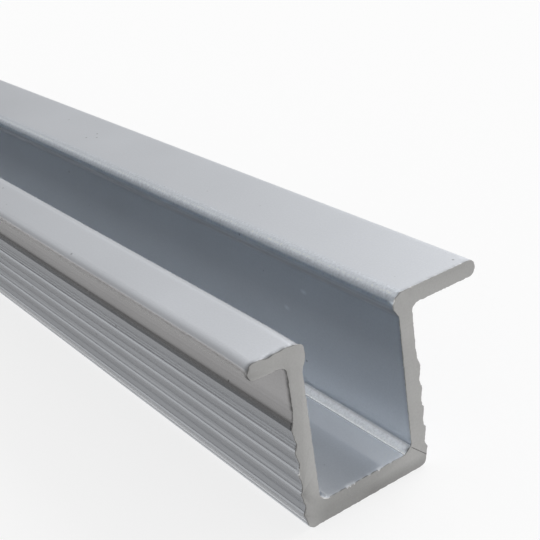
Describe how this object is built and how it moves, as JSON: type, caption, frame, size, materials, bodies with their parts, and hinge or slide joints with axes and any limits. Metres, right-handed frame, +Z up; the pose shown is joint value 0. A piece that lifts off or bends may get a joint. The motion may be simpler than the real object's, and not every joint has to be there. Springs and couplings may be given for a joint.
{
  "type": "sliding door track",
  "caption": "Press-in aluminium U track for a light sliding door, with a wide and a narrow flange, mouth lips and barbed outer walls.",
  "frame": {"origin": "on the underside, on the channel's centreline, midway along the rail", "axes": "+X along the rail, +Y across it towards the wide flange, +Z up out of the channel's mouth"},
  "size_m": [1, 0.0181, 0.0133],
  "materials": {
    "anodised_aluminium": "satin natural anodised, with bare sawn ends"
  },
  "bodies": {
    "root": {"track_profile": "anodised_aluminium"}
  },
  "joints": []
}
